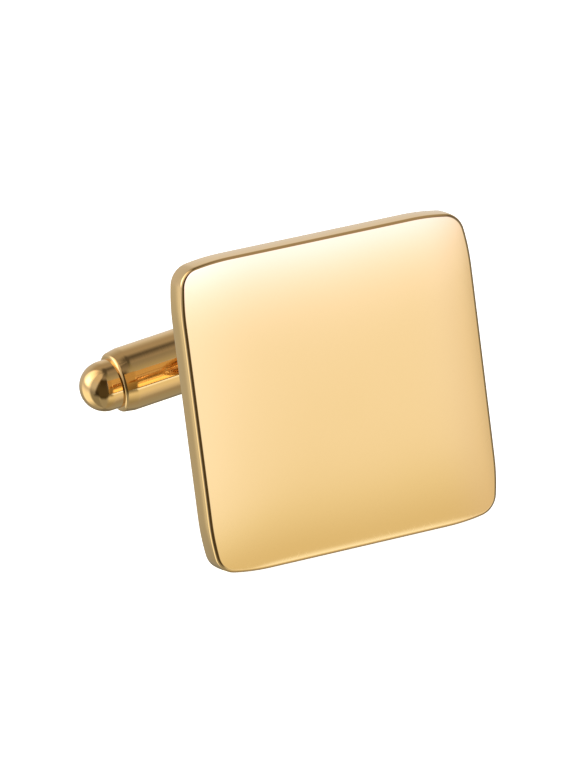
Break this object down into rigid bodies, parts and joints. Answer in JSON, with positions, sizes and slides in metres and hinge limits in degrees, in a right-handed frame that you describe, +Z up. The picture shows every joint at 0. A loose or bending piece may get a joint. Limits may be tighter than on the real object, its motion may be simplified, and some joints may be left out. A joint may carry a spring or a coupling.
{
  "type": "cufflink",
  "caption": "Square gold-plated cufflink with a softly crowned mirror face, a forked post and a swivelling bullet toggle that turns in line with the post to pass a buttonhole.",
  "frame": {"origin": "centre of the head's flat back, on the post's axis", "axes": "+Y along the post, away from the head, so the face looks along -Y; +Z up along the head's side; +X to the right seen from the front"},
  "size_m": [0.018, 0.0198, 0.018],
  "materials": {
    "head_gold": "gold plate, mirror polished",
    "closure_gold": "gold plate, tumbled bright",
    "rivet_gold": "gold plate, peened and polished",
    "toggle_gold": "gold plate, lathe polished",
    "spring_steel": "rolled spring strip"
  },
  "bodies": {
    "head": {"head_plate": "head_gold", "post_foot": "closure_gold", "post_yoke": "closure_gold", "pivot_pin": "rivet_gold"},
    "toggle": {"toggle_tube": "toggle_gold", "bullet_end_left": "toggle_gold", "bullet_end_right": "toggle_gold", "bow_spring": "spring_steel"}
  },
  "joints": [
    {"name": "toggle_swivel", "type": "hinge", "parent": "head", "child": "toggle", "pos_m": [0, 0.01607, 0], "axis": [-0.1057, 0, 0.9944], "continuous": true, "deforming": ["bow_spring"]}
  ]
}
